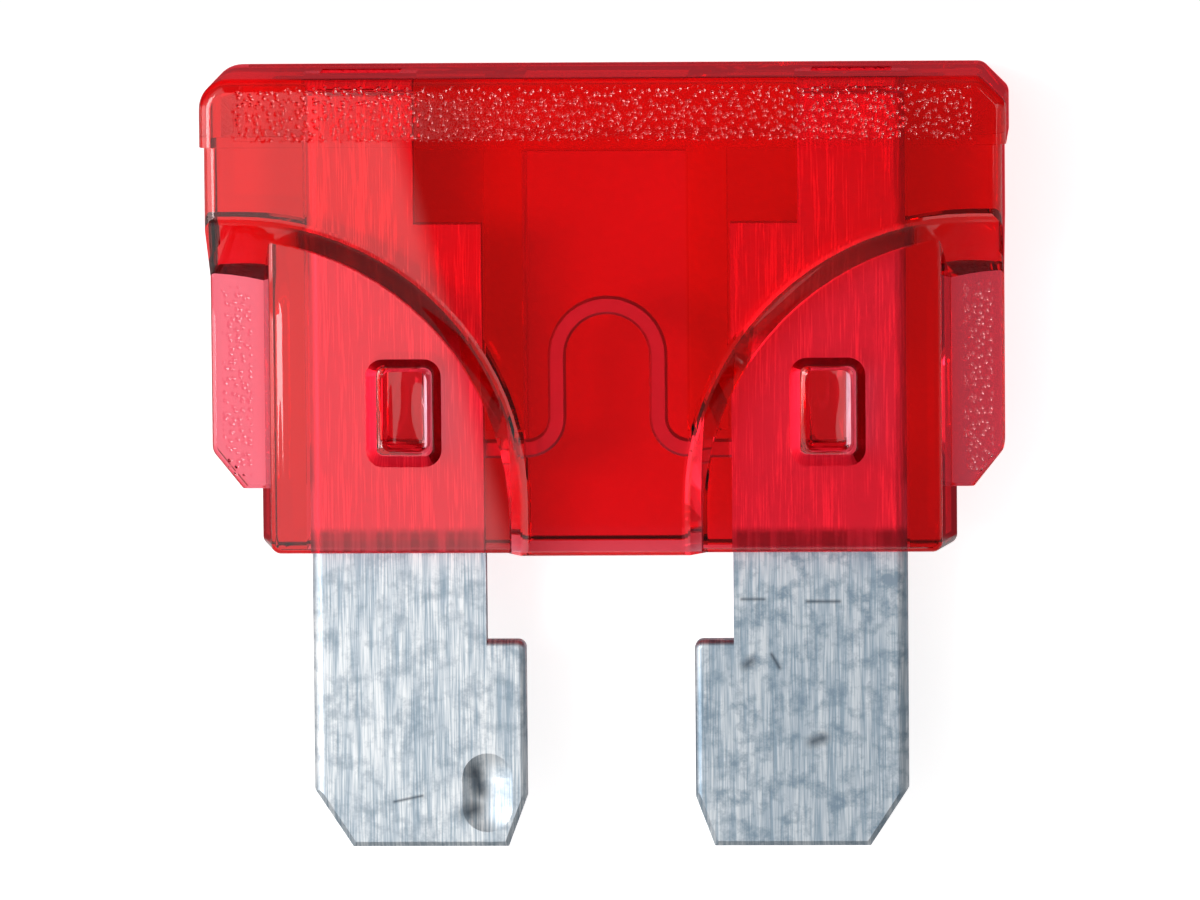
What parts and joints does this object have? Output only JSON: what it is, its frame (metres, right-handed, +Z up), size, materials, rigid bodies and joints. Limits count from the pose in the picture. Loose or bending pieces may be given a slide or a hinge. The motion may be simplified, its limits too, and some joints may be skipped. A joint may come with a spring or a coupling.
{
  "type": "blade fuse",
  "caption": "Regular-size blade fuse: a transparent red moulded housing with a raised middle and a thick head over a stamped zinc element with an arched link.",
  "frame": {"origin": "centre of the whole length and width, on the surface that the back of the head rests on", "axes": "+X across the blades, +Y from the blade tips to the head, +Z up through the thickness, out of the front"},
  "size_m": [0.019, 0.0186, 0.0051],
  "materials": {
    "red_plastic": "transparent moulded, polished faces with a fine grain on the head and the wings",
    "zinc": "stamped zinc strip, rolled edges, fine lengthwise brushing"
  },
  "bodies": {
    "root": {"housing": "red_plastic", "fuse_element": "zinc"}
  },
  "joints": []
}
